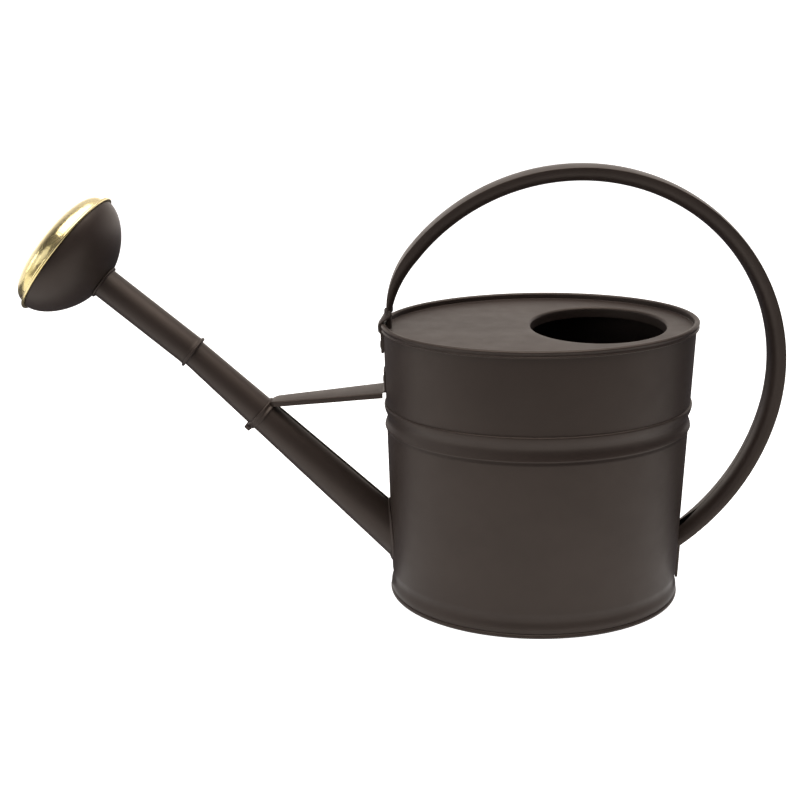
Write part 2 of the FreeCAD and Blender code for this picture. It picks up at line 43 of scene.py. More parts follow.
# ---- sizes, the same as the CAD part's ------------------------------------------------------------
HALF_LENGTH, HALF_WIDTH = 128.0, 91.2
SHEET, GAP = 1.0, 0.04
RIM_TOP, RIM_HEIGHT, RIM_OUT, RIM_IN = 251.4, 5.8, 2.1, 2.4
LID_TOP = 246.4
HOLE_X, HOLE_R, HOLE_COLLAR, HOLE_LIP = 49.0, 55.0, 8.6, 2.4
GROOVE_DEPTH, RIDGE_HEIGHT, UPPER_SHOULDER_Z = 0.7, 1.6, 181.0
LOWER_RIDGE_HEIGHT, UNDERCUT_DEPTH = 1.5, 0.5
FOOT_TOP, FOOT_BULGE, FOOT_WAIST, FOOT_NIP, FOOT_ROLL_R = 17.0, 1.2, 0.7, 0.7, 2.2
SPOUT_X, SPOUT_Z, SPOUT_ANGLE, SPOUT_LENGTH = -131.0, 62.0, 45.6, 230.8
SPOUT_R_LOW, SPOUT_R_TIP = 18.8, 11.9
ROSE_ANGLE = 41.7
SLEEVE_LENGTH, SLEEVE_BORE_R, SLEEVE_R_MOUTH, SLEEVE_R_TOP = 95.0, 12.35, 13.5, 13.0
BOWL_START, BOWL_END, BOWL_R, BOWL_SHEET = 93.0, 127.6, 55.2, 0.8
FACE_RIM_R, FACE_ROLL_R, FACE_LEDGE, FACE_HEIGHT, FACE_FULLNESS = 57.6, 1.3, 2.6, 18.9, 0.70
FACE_SHEET, FACE_HOLE_R, FACE_HOLE_RINGS, FACE_HOLE_PITCH = 0.8, 0.9, 5, 10.6
HOOP_X, HOOP_Z, HOOP_OUTER_R, HOOP_REAR_R, HOOP_REAR_START = 27.7, 199.1, 174.6, 205.0, -10.0
HOOP_FRONT_R, HOOP_FRONT_X, HOOP_TAPER = 82.0, -125.2, 1.5
HOOP_WIDTH, HOOP_DEPTH, HOOP_END_WIDTH, HOOP_END_DEPTH = 28.0, 12.4, 12.0, 4.4
HOOP_SHEET, HOOP_CROWN, HOOP_SLOT, HOOP_EDGE, HOOP_ROUND = 0.9, 1.3, 0.25, 0.5, 2.8
TONGUE_HALF, TONGUE_LOW, TONGUE_THICK = 11.0, 15.0, 2.2
STRUT_BODY_Z, STRUT_SPOUT_X, STRUT_SPOUT_Z = 193.2, -222.5, 184.3
STRUT_HALF_BODY, STRUT_HALF_SPOUT, STRUT_FLANGE, STRUT_SHEET = 15.0, 9.5, 4.7, 1.2
STRUT_TAB_TOP, STRUT_TAB_HALF = 211.0, 12.0
CLAMP_STATION, CLAMP_WIDTH, CLAMP_SHEET, CLAMP_EAR = 152.4, 6.0, 1.5, 5.2
CLIP_HALF, CLIP_SHEET, CLIP_TAB, CLIP_TOP, CLIP_LOW = 8.5, 1.3, 2.5, 262.0, 226.0
MOUTH_RING_R, MOUTH_RING_WIDTH, NECK_RING_R, NECK_RING_WIDTH = 15.1, 2.6, 15.2, 1.7
WALL_TOP = RIM_TOP - 1.9

# Heights over which each feature of the wall comes in or dies away.
NIP_OUT, BULGE_OUT = (4.2, 5.2), (8.0, FOOT_TOP - 1.0)
WAIST_IN, WAIST_OUT = (8.0, FOOT_TOP), (FOOT_TOP, 24.0)
UNDERCUT_IN, UNDERCUT_OUT = (157.5, 160.7), (160.9, 161.6)
LOWER_RIDGE_IN, LOWER_RIDGE_OUT = (160.9, 161.8), (162.2, 171.0)
GROOVE_IN, GROOVE_OUT = (161.5, 168.0), (171.0, 178.0)
UPPER_RIDGE_IN = (171.0, UPPER_SHOULDER_Z)
# The top of each stretch of the wall and its number of rings: close together at the foot and the ridges.
WALL_STRETCHES = ((26.0, 30), (156.0, 10), (180.0, 60), (184.0, 60), (WALL_TOP, 6))
OVAL_POINTS = 288

# The spout's lock seam, in degrees round the spout, and where the spout starts and ends.
SEAM_ANGLE = 3.0                 # from the spout's upper edge towards the camera's side
SEAM_GROOVE, SEAM_LIP = 0.6, 0.7
SEAM_EDGE, SEAM_FOLD, SEAM_CREST, SEAM_END = 3.0, 7.8, 8.4, 33.0
SEAM_TURNS = (0.0, 1.0, 2.0, SEAM_EDGE, 5.0, 7.6, 8.0, SEAM_CREST, 11.0, 15.0, 20.0, 26.0, SEAM_END)
SEAM_FLATTENS = (140.0, 149.0)   # stations: it is pressed flat before the clamp
SPOUT_SPANS, SPOUT_FOOT_GAP, SPOUT_TIP_CUT = 24, 0.1, 0.8


# ---- mesh helpers ---------------------------------------------------------------------------------
def mesh_object(name, verts, faces, sharp=35.0):
    """An object from points in millimetres, smooth except along edges sharper than an angle."""
    mesh = bpy.data.meshes.new(name)
    mesh.from_pydata([(x * MM, y * MM, z * MM) for x, y, z in verts], [], faces)
    bm = bmesh.new()
    bm.from_mesh(mesh)
    bmesh.ops.recalc_face_normals(bm, faces=bm.faces)
    bm.to_mesh(mesh)
    bm.free()
    mesh.polygons.foreach_set("use_smooth", [True] * len(mesh.polygons))
    mesh.set_sharp_from_angle(angle=math.radians(sharp))
    obj = bpy.data.objects.new(name, mesh)
    bpy.context.scene.collection.objects.link(obj)
    return obj


def rings_mesh(name, rings, closed=True, capped=False, sharp=35.0):
    """A surface through closed rings of points; closed also joins the last ring to the first."""
    count = len(rings[0])
    verts = [p for ring in rings for p in ring]
    faces = []
    spans = len(rings) if closed else len(rings) - 1
    for i in range(spans):
        a, b = i * count, ((i + 1) % len(rings)) * count
        for k in range(count):
            n = (k + 1) % count
            faces.append((a + k, a + n, b + n, b + k))
    if capped:
        faces.append(tuple(range(count)))
        faces.append(tuple(range((len(rings) - 1) * count, len(rings) * count)))
    return mesh_object(name, verts, faces, sharp)


def arc(cu, cv, ru, rv, start, end, steps):
    """Points on an ellipse's arc, its angles in degrees."""
    points = []
    for k in range(steps + 1):
        t = math.radians(start + (end - start) * k / steps)
        points.append((cu + ru * math.cos(t), cv + rv * math.sin(t)))
    return points


def oval_ring(offset, z):
    """The can's plain oval at a height, moved out by a distance."""
    ring = []
    for k in range(OVAL_POINTS):
        t = 2 * math.pi * k / OVAL_POINTS
        ring.append(((HALF_LENGTH + offset) * math.cos(t), (HALF_WIDTH + offset) * math.sin(t), z))
    return ring


def rise(z, low, high):
    """From 0 to 1 between two values, with soft ends."""
    t = min(1.0, max(0.0, (z - low) / (high - low)))
    return t * t * (3.0 - 2.0 * t)


def wall_offset(z):
    """How far the wall's outer face stands from the plain oval at a height."""
    shoulder = min(1.0, max(0.0, (z - UPPER_SHOULDER_Z) / RIDGE_HEIGHT))
    upper = RIDGE_HEIGHT * math.sqrt(1.0 - shoulder ** 2) * rise(z, *UPPER_RIDGE_IN)
    lower = LOWER_RIDGE_HEIGHT * rise(z, *LOWER_RIDGE_IN) * (1.0 - rise(z, *LOWER_RIDGE_OUT))
    groove = GROOVE_DEPTH * (1.0 - rise(z, *GROOVE_OUT)) * rise(z, *GROOVE_IN)
    groove += UNDERCUT_DEPTH * rise(z, *UNDERCUT_IN) * (1.0 - rise(z, *UNDERCUT_OUT))
    waist = rise(z, *WAIST_IN) * (1.0 - rise(z, *WAIST_OUT))
    bulge = 1.0 - rise(z, *BULGE_OUT)
    nip = 1.0 - rise(z, *NIP_OUT)
    return upper + lower - groove + FOOT_BULGE * bulge - FOOT_WAIST * waist - FOOT_NIP * nip


def span(low, high, steps):
    """Evenly spaced values, both ends included."""
    return [low + (high - low) * k / steps for k in range(steps + 1)]


def rounded(points, radius):
    """The closed outline with each corner replaced by a small smooth bend."""
    found = []
    for i, p in enumerate(points):
        ends = []
        for q in (points[i - 1], points[(i + 1) % len(points)]):
            length = math.hypot(q[0] - p[0], q[1] - p[1])
            share = min(radius, 0.45 * length) / length
            ends.append((p[0] + (q[0] - p[0]) * share, p[1] + (q[1] - p[1]) * share))
        for t in span(0.0, 1.0, 4):
            a, b, c = (1 - t) ** 2, 2 * t * (1 - t), t ** 2
            found.append(tuple(a * u + b * v + c * w for u, v, w in zip(ends[0], p, ends[1])))
    return found


def soft_edges(obj, width):
    """Small bevels on the sharp edges."""
    modifier = obj.modifiers.new("soft_edges", "BEVEL")
    modifier.width = width * MM
    modifier.segments = 2
    modifier.limit_method = "ANGLE"
    modifier.angle_limit = math.radians(40.0)
    modifier.harden_normals = True
    return obj


def wall_strap(name, outline, half, side, corner=0.5, steps=16, arch=(0.0, 0.0, 1.0)):
    """A strap that follows the wall's curve: a closed (offset, z) outline carried across Y.

    An arch draws the strap's edges back by a depth, from one height up to another.
    """
    section = rounded(outline, corner)
    depth, low, high = arch
    rings = []
    for y in span(-half, half, steps):
        ring = []
        for o, z in section:
            back = o - depth * (y / half) ** 2 * rise(z, low, high)
            ring.append((side * (HALF_LENGTH + back) * math.sqrt(1.0 - (y / (HALF_WIDTH + back)) ** 2), y, z))
        rings.append(ring)
    return soft_edges(rings_mesh(name, rings, closed=False, capped=True, sharp=50.0), 0.25)


class Axis:
    """A tilted axis in the XZ plane; stations run up the spout, angle 0 points to its upper side."""

    def __init__(self, x, z, angle):
        a = math.radians(angle)
        self.x, self.z = x, z
        self.ux, self.uz = -math.cos(a), math.sin(a)
        self.vx, self.vz = math.sin(a), math.cos(a)

    def at(self, station, radius, angle):
        """Angle 0 is the upper side and a quarter turn the camera's side, towards -Y."""
        up, side = radius * math.cos(angle), radius * math.sin(angle)
        return (self.x + self.ux * station + self.vx * up, -side, self.z + self.uz * station + self.vz * up)

    def ring(self, radius, station, count):
        return [self.at(station, radius, 2 * math.pi * k / count) for k in range(count)]

    def lathe(self, name, outline, count=96, sharp=35.0):
        """A closed (radius, station) outline turned about the axis."""
        return rings_mesh(name, [self.ring(r, s, count) for r, s in outline], sharp=sharp)


SPOUT = Axis(SPOUT_X, SPOUT_Z, SPOUT_ANGLE)
MOUTH = SPOUT.at(SPOUT_LENGTH, 0.0, 0.0)
ROSE = Axis(MOUTH[0], MOUTH[2], ROSE_ANGLE)


# ---- materials --------------------------------------------------------------------------------------
def new_material(name):
    material = bpy.data.materials.new(name)
    material.use_nodes = True
    nodes, links = material.node_tree.nodes, material.node_tree.links
    nodes.clear()
    out = nodes.new("ShaderNodeOutputMaterial")
    bsdf = nodes.new("ShaderNodeBsdfPrincipled")
    links.new(bsdf.outputs["BSDF"], out.inputs["Surface"])
    return material, nodes, links, bsdf


def noise(nodes, links, coords, scale, detail=3.0, rough=0.55):
    node = nodes.new("ShaderNodeTexNoise")
    node.inputs["Scale"].default_value = scale
    node.inputs["Detail"].default_value = detail
    node.inputs["Roughness"].default_value = rough
    links.new(coords.outputs["Object"], node.inputs["Vector"])
    return node


def ramp(nodes, links, source, stops):
    node = nodes.new("ShaderNodeValToRGB")
    elements = node.color_ramp.elements
    while len(elements) < len(stops):
        elements.new(0.5)
    for element, (position, colour) in zip(elements, stops):
        element.position = position
        element.color = (*colour, 1.0)
    links.new(source, node.inputs["Fac"])
    return node


def ranged(nodes, links, source, low, high, start=0.3, end=0.7):
    node = nodes.new("ShaderNodeMapRange")
    node.inputs["From Min"].default_value = start
    node.inputs["From Max"].default_value = end
    node.inputs["To Min"].default_value = low
    node.inputs["To Max"].default_value = high
    links.new(source, node.inputs["Value"])
    return node


def bump(nodes, links, source, strength, distance, under=None):
    """Fine relief from a texture, on top of another where one is given; the distance is in metres."""
    node = nodes.new("ShaderNodeBump")
    node.inputs["Strength"].default_value = strength
    node.inputs["Distance"].default_value = distance
    links.new(source.outputs["Fac"], node.inputs["Height"])
    if under:
        links.new(under.outputs["Normal"], node.inputs["Normal"])
    return node


def combined(nodes, links, operation, first, second):
    """The output of one Math node over two values."""
    node = nodes.new("ShaderNodeMath")
    node.operation = operation
    links.new(first, node.inputs[0])
    links.new(second, node.inputs[1])
    return node.outputs["Value"]


def powder_coat(name, dark, light, roughness):
    """Fine-grained baked powder paint, a little uneven in tone and sheen."""
    material, nodes, links, bsdf = new_material(name)
    coords = nodes.new("ShaderNodeTexCoord")
    cloud = noise(nodes, links, coords, 14.0, 4.0)
    tone = ramp(nodes, links, cloud.outputs["Fac"], ((0.35, dark), (0.65, light)))
    links.new(tone.outputs["Color"], bsdf.inputs["Base Color"])
    sheen = noise(nodes, links, coords, 60.0, 3.0)
    spread = ranged(nodes, links, sheen.outputs["Fac"], roughness - 0.03, roughness + 0.04)
    links.new(spread.outputs["Result"], bsdf.inputs["Roughness"])
    bsdf.inputs["Specular Tint"].default_value = (1.0, 0.87, 0.78, 1.0)
    bsdf.inputs["Specular IOR Level"].default_value = 0.40
    fine = noise(nodes, links, coords, 2200.0, 2.0)
    peel = noise(nodes, links, coords, 420.0, 2.0)
    low = bump(nodes, links, peel, 0.05, 0.0004)
    high = bump(nodes, links, fine, 0.25, 0.00006, low)
    links.new(high.outputs["Normal"], bsdf.inputs["Normal"])
    return material


def brass(name):
    """Spun, lightly lacquered brass with faint turning marks and a few dull patches."""
    material, nodes, links, bsdf = new_material(name)
    coords = nodes.new("ShaderNodeTexCoord")
    cloud = noise(nodes, links, coords, 30.0, 4.0)
    tone = ramp(nodes, links, cloud.outputs["Fac"], ((0.3, (0.74, 0.59, 0.24)), (0.7, (0.88, 0.77, 0.44))))
    links.new(tone.outputs["Color"], bsdf.inputs["Base Color"])
    bsdf.inputs["Metallic"].default_value = 1.0
    spread = ranged(nodes, links, cloud.outputs["Fac"], 0.18, 0.30)
    links.new(spread.outputs["Result"], bsdf.inputs["Roughness"])
    dents = noise(nodes, links, coords, 130.0, 3.0, 0.6)
    relief = bump(nodes, links, dents, 0.5, 0.0008)
    links.new(relief.outputs["Normal"], bsdf.inputs["Normal"])
    return material


COAT = powder_coat("powder_coat", (0.0215, 0.0152, 0.0129), (0.0268, 0.0194, 0.0165), 0.45)
BRASS = brass("spun_brass")


def finish_piece(obj, body, material, slot_name, *nodes):
    obj.data.materials.clear()
    obj.data.materials.append(material)
    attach(obj, body)
    if nodes:
        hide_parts(*nodes)
    return obj


def coated(obj, body, *nodes):
    return finish_piece(obj, body, COAT, "coat", *nodes)


# ---- body -------------------------------------------------------------------------------------------
def wall():
    """The oval wall, its ridges and foot band, down to the rolled edge it stands on."""
    low = 2 * FOOT_ROLL_R
    levels = [low]
    for top, steps in WALL_STRETCHES:
        levels += span(low, top, steps)[1:]
        low = top
    outer = [(wall_offset(z), z) for z in levels]
    inner = [(wall_offset(z) - SHEET, z) for z in reversed(levels)]
    roll = arc(-0.1, FOOT_ROLL_R, FOOT_ROLL_R, FOOT_ROLL_R, 180, 405, 18)
    section = outer + inner + roll
    return rings_mesh("can_wall", [oval_ring(o, z) for o, z in section], sharp=40.0)


def lid_rings():
    """One closed sheet: seam over the wall, sunken plate, and the hole's turned-down collar."""
    half = (RIM_OUT + RIM_IN) / 2.0
    middle = (RIM_OUT - RIM_IN) / 2.0
    low = RIM_TOP - RIM_HEIGHT
    seam = [(0.5, low - 0.02), (RIM_OUT - 0.8, low)]
    seam += arc(RIM_OUT - 0.75, low + 0.75, 0.75, 0.75, -70, 60, 5)
    seam += [(RIM_OUT - 0.75, low + 2.0), (RIM_OUT - 0.8, low + 2.7)]
    seam += arc(RIM_OUT - 1.1, RIM_TOP - 1.5, 1.1, 1.1, -60, 0, 3)
    seam += arc(middle, RIM_TOP - 1.5, half, 1.5, 15, 180, 10)
    seam += [(-RIM_IN, LID_TOP + 0.8)]
    seam += arc(-RIM_IN - 0.7, LID_TOP + 0.7, 0.7, 0.7, 0, -90, 4)
    rings = [oval_ring(o, z) for o, z in seam]

    start = oval_ring(-RIM_IN - 0.7, LID_TOP)

    def hole_ring(radius, z):
        ring = []
        for x, y, _ in start:
            away = Vector((x - HOLE_X, y)).normalized()
            ring.append((HOLE_X + radius * away.x, radius * away.y, z))
        return ring

    def plate(z, shares):
        edge = hole_ring(HOLE_R + HOLE_LIP, z)
        found = []
        for share in shares:
            found.append([(p[0] + (q[0] - p[0]) * share, p[1] + (q[1] - p[1]) * share, z)
                          for p, q in zip(start, edge)])
        return found

    rings += plate(LID_TOP, (0.1, 0.3, 0.5, 0.7, 0.9))
    under = HOLE_LIP - SHEET
    for r, z in arc(HOLE_R + HOLE_LIP, LID_TOP - HOLE_LIP, HOLE_LIP, HOLE_LIP, 90, 180, 8):
        rings.append(hole_ring(r, z))
    rings.append(hole_ring(HOLE_R, LID_TOP - HOLE_COLLAR))
    rings.append(hole_ring(HOLE_R + SHEET, LID_TOP - HOLE_COLLAR))
    for r, z in arc(HOLE_R + HOLE_LIP, LID_TOP - HOLE_LIP, under, under, 180, 90, 6):
        rings.append(hole_ring(r, z))
    rings += plate(LID_TOP - SHEET, (0.9, 0.5, 0.1))
    for o, z in ((-SHEET - GAP, LID_TOP - SHEET), (-SHEET - GAP, WALL_TOP + GAP),
                 (GAP, WALL_TOP + GAP), (GAP, RIM_TOP - RIM_HEIGHT)):
        rings.append(oval_ring(o, z))
    return rings


# ---- spout ------------------------------------------------------------------------------------------
def spout_radius(station):
    return SPOUT_R_LOW + (SPOUT_R_TIP - SPOUT_R_LOW) * station / SPOUT_LENGTH


def wall_station(angle, shrink, offset):
    """Where a line of the spout's cone meets the wall, by bisection along the axis."""
    low, high = -60.0, 40.0
    for _ in range(40):
        mid = (low + high) / 2.0
        x, y, _ = SPOUT.at(mid, spout_radius(mid) - shrink, angle)
        inside = (x / (HALF_LENGTH + offset)) ** 2 + (y / (HALF_WIDTH + offset)) ** 2 < 1.0
        if inside:
            low = mid
        else:
            high = mid
    return low


def lap(turn):
    """The lock seam, by degrees past its near edge: a rounded edge, a groove and a lip that eases away."""
    if turn < 0.0 or turn > SEAM_END:
        return 0.0
    if turn < SEAM_FOLD:
        return -SEAM_GROOVE * rise(turn, 0.0, SEAM_EDGE)
    return SEAM_LIP * (1.0 - rise(turn, SEAM_CREST, SEAM_END))


def spout_tube():
    """The tapered tube, fitted to the wall at its foot and cut square to the rose's axis at its tip."""
    turns = list(SEAM_TURNS) + span(SEAM_END, 360.0, 130)[1:-1]
    angles = [math.radians(SEAM_ANGLE - turn) for turn in turns]

    def tip(angle, shrink):
        """The station where one line of the tube ends."""
        station = SPOUT_LENGTH
        for _ in range(6):
            x, _, z = SPOUT.at(station, spout_radius(station) - shrink, angle)
            beyond = (x - ROSE.x) * ROSE.ux + (z - ROSE.z) * ROSE.uz - SPOUT_TIP_CUT
            station -= beyond
        return station

    rings = []
    stops = range(SPOUT_SPANS + 1)
    for shrink, order in ((0.0, stops), (SHEET, reversed(stops))):
        ends = [(wall_station(a, shrink, SPOUT_FOOT_GAP), tip(a, shrink)) for a in angles]
        for k in order:
            ring = []
            for turn, angle, (first, last) in zip(turns, angles, ends):
                station = first + (last - first) * k / SPOUT_SPANS
                if shrink == 0.0:
                    lift = lap(turn) * (1.0 - rise(station, *SEAM_FLATTENS))
                else:
                    lift = min(0.0, lap(turn))
                ring.append(SPOUT.at(station, spout_radius(station) - shrink + lift, angle))
            rings.append(ring)
    return rings_mesh("spout_tube", rings, sharp=30.0)


def solder_bead():
    """The soldered fillet round the spout's foot."""
    count = 144
    profile = ((0.0, -1.5), (1.2, -0.9), (1.9, 0.1), (2.0, 1.0),
               (1.1, 2.2), (0.1, 3.2), (-0.6, 2.2), (-0.6, -0.9))
    rings = []
    for lift, ahead in profile:
        ring = []
        for k in range(count):
            angle = 2 * math.pi * k / count
            foot = wall_station(angle, -lift, 0.0)
            wobble = 0.15 * math.sin(5 * angle + 1.0) + 0.1 * math.sin(11 * angle)
            ring.append(SPOUT.at(foot + ahead + wobble, spout_radius(foot) + lift, angle))
        rings.append(ring)
    return rings_mesh("spout_solder", rings, sharp=60.0)


# ---- handle -----------------------------------------------------------------------------------------
def hoop_outline(width, depth, slot=HOOP_SLOT):
    """The rolled strip's section as (out, across) points: flat outside, rounded inside with a seam."""
    half, t = width / 2.0, HOOP_SHEET
    crown = HOOP_CROWN * width / HOOP_WIDTH
    edge = HOOP_EDGE
    top = -crown * (1.0 - edge / half) ** 2
    shoulder = top - edge

    def dome(y):
        return -crown * (y / half) ** 2

    def belly(inset, steps):
        """From the side round to the seam: a rounded box, moved in by a distance."""
        reach, drop = half - inset, depth + shoulder - inset
        low = math.asin(min(1.0, (slot / reach) ** (HOOP_ROUND / 2.0)))
        found = []
        for a in span(0.0, math.pi / 2 - low, steps):
            found.append((shoulder - drop * math.sin(a) ** (2.0 / HOOP_ROUND),
                          reach * math.cos(a) ** (2.0 / HOOP_ROUND)))
        return found

    right = [(dome(y), y) for y in span(0.0, half - edge, 7)]
    right += [(top - edge * (1.0 - math.sin(a)), half - edge * (1.0 - math.cos(a)))
              for a in (math.radians(d) for d in (60, 30))]
    right += belly(0.0, 14)
    right += list(reversed(belly(t, 10)))
    right += [(dome(y) - t, y) for y in span(half - t - 0.4, 0.0, 5)]
    left = [(out, -across) for out, across in reversed(right[1:-1])]
    return right + left


def hoop_path():
    """Where the front arc starts, and the centres of the front and rear arcs."""
    step = HOOP_OUTER_R - HOOP_FRONT_R
    turn = math.degrees(math.acos((HOOP_FRONT_X + HOOP_FRONT_R - HOOP_X) / step))
    front = (HOOP_X + step * math.cos(math.radians(turn)), HOOP_Z + step * math.sin(math.radians(turn)))
    back = HOOP_OUTER_R - HOOP_REAR_R
    start = math.radians(HOOP_REAR_START)
    rear = (HOOP_X + back * math.cos(start), HOOP_Z + back * math.sin(start))
    return turn, front, rear


def on_arc(centre, radius, angle, point, drop=0.0):
    """A point of the section carried round an arc in the XZ plane, its angle in degrees."""
    a = math.radians(angle)
    reach = radius + point[0]
    return (centre[0] + reach * math.cos(a), point[1], centre[1] + reach * math.sin(a) - drop)


def wall_angle(centre, radius, point):
    """The angle at which one line of the hoop meets the wall's rear."""
    low, high = -75.0, -30.0
    for _ in range(40):
        mid = (low + high) / 2.0
        x, y, _ = on_arc(centre, radius, mid, point)
        if (x / (HALF_LENGTH + 0.05)) ** 2 + (y / (HALF_WIDTH + 0.05)) ** 2 < 1.0:
            low = mid
        else:
            high = mid
    return high


def hoop():
    """The strip from the wall's rear round to the front, where it narrows and comes down on the lid."""
    turn, front, rear = hoop_path()
    rings = []
    last, spans = -30.0, 40
    ends = [wall_angle(rear, HOOP_REAR_R, p) for p in hoop_outline(HOOP_WIDTH, HOOP_DEPTH, 4.5)]
    for k in range(spans):
        share = k / spans
        slot = HOOP_SLOT + 4.2 * (1.0 - rise(share, 0.05, 0.45))
        outline = hoop_outline(HOOP_WIDTH, HOOP_DEPTH, slot)
        rings.append([on_arc(rear, HOOP_REAR_R, end + (last - end) * share, p)
                      for end, p in zip(ends, outline)])
    plain = hoop_outline(HOOP_WIDTH, HOOP_DEPTH)
    for angle in span(last, HOOP_REAR_START, 24)[:-1]:
        rings.append([on_arc(rear, HOOP_REAR_R, angle, p) for p in plain])
    for angle in span(HOOP_REAR_START, turn, 220):
        rings.append([on_arc((HOOP_X, HOOP_Z), HOOP_OUTER_R, angle, p) for p in plain])
    for k in range(1, 41):
        share = (k / 40.0) ** HOOP_TAPER
        outline = hoop_outline(HOOP_WIDTH + (HOOP_END_WIDTH - HOOP_WIDTH) * share,
                               HOOP_DEPTH + (HOOP_END_DEPTH - HOOP_DEPTH) * share)
        angle = turn + (180.0 - turn) * k / 40.0
        rings.append([on_arc(front, HOOP_FRONT_R, angle, p) for p in outline])
    drop = front[1] - LID_TOP - 0.1
    rings.append([on_arc(front, HOOP_FRONT_R, 180.0, p, drop) for p in outline])
    return rings_mesh("hoop", rings, closed=False, capped=True, sharp=32.0)


def tongue():
    """The hoop's flattened rear end against the wall."""
    outer = GAP + TONGUE_THICK
    outline = [(GAP, TONGUE_LOW), (outer, TONGUE_LOW), (outer, 50.0), (outer + 1.5, 56.0), (GAP, 58.0)]
    return wall_strap("hoop_tongue", outline, TONGUE_HALF, 1, 0.6)


def clip():
    """The strap from the hoop's front end, out over the rim and down the wall."""
    under = RIM_TOP - RIM_HEIGHT
    start = 0.45 - (HOOP_FRONT_X + HALF_LENGTH)
    over = RIM_OUT + 3 * GAP
    inner = [(start, CLIP_TOP), (start, CLIP_TOP - 4.0), (over, RIM_TOP - 0.6), (over, under - 0.2),
             (GAP, under - 2.4), (GAP, CLIP_LOW)]
    outer = [(GAP + CLIP_TAB, CLIP_LOW), (GAP + CLIP_TAB, under - 2.6), (over + 2.2, under - 1.2),
             (over + 2.3, RIM_TOP - 1.5), (start + CLIP_SHEET, CLIP_TOP - 3.4),
             (start + CLIP_SHEET, CLIP_TOP)]
    return wall_strap("front_clip", inner + outer, CLIP_HALF, -1, 1.4, 20, arch=(5.0, 250.5, 255.5))


# ---- brace and clamp --------------------------------------------------------------------------------
def channel_outline(half, depth):
    """The brace's downward-open channel as (across, height) points, its folds rounded."""
    t = STRUT_SHEET
    fold = 1.6
    right = [(half - fold, 0.0)]
    right += [(half - fold + fold * math.sin(a), -fold + fold * math.cos(a)) for a in
              (math.radians(d) for d in (22, 45, 67, 90))]
    right += [(half, -depth), (half - t, -depth)]
    right += [(half - fold + (fold - t) * math.sin(a), -fold + (fold - t) * math.cos(a)) for a in
              (math.radians(d) for d in (90, 45, 0))]
    left = [(-across, height) for across, height in reversed(right)]
    return right + left


def brace():
    """The channel from the wall to the clamp, its nose drawn in and bent down over the spout."""
    wall_x = -HALF_LENGTH - STRUT_SHEET - 0.6
    stations = []
    for share in span(0.0, 1.0, 10):
        dent = 0.25 * math.sin(math.pi * share) * math.sin(9.0 * share)
        stations.append((wall_x + (STRUT_SPOUT_X - wall_x) * share,
                         STRUT_BODY_Z + (STRUT_SPOUT_Z - STRUT_BODY_Z) * share + 0.2 * dent,
                         STRUT_HALF_BODY + (STRUT_HALF_SPOUT - STRUT_HALF_BODY) * share, STRUT_FLANGE))
    stations += [(-224.2, 184.05, 9.0, 4.5), (-225.8, 183.7, 8.2, 4.0),
                 (-227.2, 183.3, 7.2, 3.4), (-228.6, 182.7, 6.0, 2.8)]
    rings = [[(x, across, z + height) for across, height in channel_outline(half, depth)]
             for x, z, half, depth in stations]
    return soft_edges(rings_mesh("brace_channel", rings, closed=False, capped=True, sharp=45.0), 0.2)


def brace_tab():
    """The brace's upturned end, flat against the wall."""
    z = STRUT_BODY_Z
    outline = [(GAP, STRUT_TAB_TOP), (GAP + STRUT_SHEET, STRUT_TAB_TOP), (GAP + STRUT_SHEET, z + 1.2),
               (GAP + STRUT_SHEET + 1.2, z + 0.1), (GAP + 5.0, z - 0.1), (GAP + 5.0, z - 1.0), (GAP, z - 0.6)]
    return wall_strap("brace_tab", outline, STRUT_TAB_HALF, -1, 0.5)


def clamp_band():
    """A rounded strap round the spout with a shallow groove along its middle."""
    half = CLAMP_WIDTH / 2.0
    ridge = [(0.0, -half), (1.2, -half), (1.6, -0.88 * half),
             (1.6, -0.66 * half), (1.1, -0.4 * half), (0.7, -0.2 * half)]
    profile = ridge + [(lift, -along) for lift, along in reversed(ridge)]
    outline = [(spout_radius(CLAMP_STATION + s) + GAP + lift, CLAMP_STATION + s) for lift, s in profile]
    return SPOUT.lathe("clamp_band", outline, 96, sharp=60.0)


def clamp_ears():
    """Two ears below the spout, pinched together by the rivet."""
    base = spout_radius(CLAMP_STATION) + 0.4
    half = CLAMP_WIDTH / 2.0
    low = base + CLAMP_EAR + 1.0
    outline = rounded([(base, -half), (low, 0.6 - half), (low, half), (base, half + 0.6)], 0.9)
    verts, faces = [], []
    count = len(outline)
    for side in (-1, 1):
        for across in (0.2, 0.4 + CLAMP_SHEET):
            for radius, along in outline:
                x, _, z = SPOUT.at(CLAMP_STATION + along, radius, math.pi)
                verts.append((x, side * across, z))
        start = len(verts) - 2 * count
        faces.append(tuple(range(start, start + count)))
        faces.append(tuple(range(start + count, start + 2 * count)))
        for k in range(count):
            n = (k + 1) % count
            faces.append((start + k, start + n, start + count + n, start + count + k))
    return soft_edges(mesh_object("clamp_ears", verts, faces), 0.3)


# ---- rose -------------------------------------------------------------------------------------------
def bowl_outline(shrink, steps):
    """The bowl's profile from neck to rim, moved in by a distance."""
    points = []
    neck = SLEEVE_R_TOP + GAP
    for k in range(steps + 1):
        t = math.pi / 2 * k / steps
        station = BOWL_START + (BOWL_END - BOWL_START) * (1.0 - math.cos(t) ** 1.16)
        radius = neck + (BOWL_R - neck) * math.sin(t) ** 1.33
        points.append((max(neck, radius - shrink * math.sin(t)), station + shrink * math.cos(t)))
    return points


def bowl():
    outline = bowl_outline(0.0, 40) + list(reversed(bowl_outline(BOWL_SHEET, 40)))
    return ROSE.lathe("rose_bowl_skin", outline, 160)


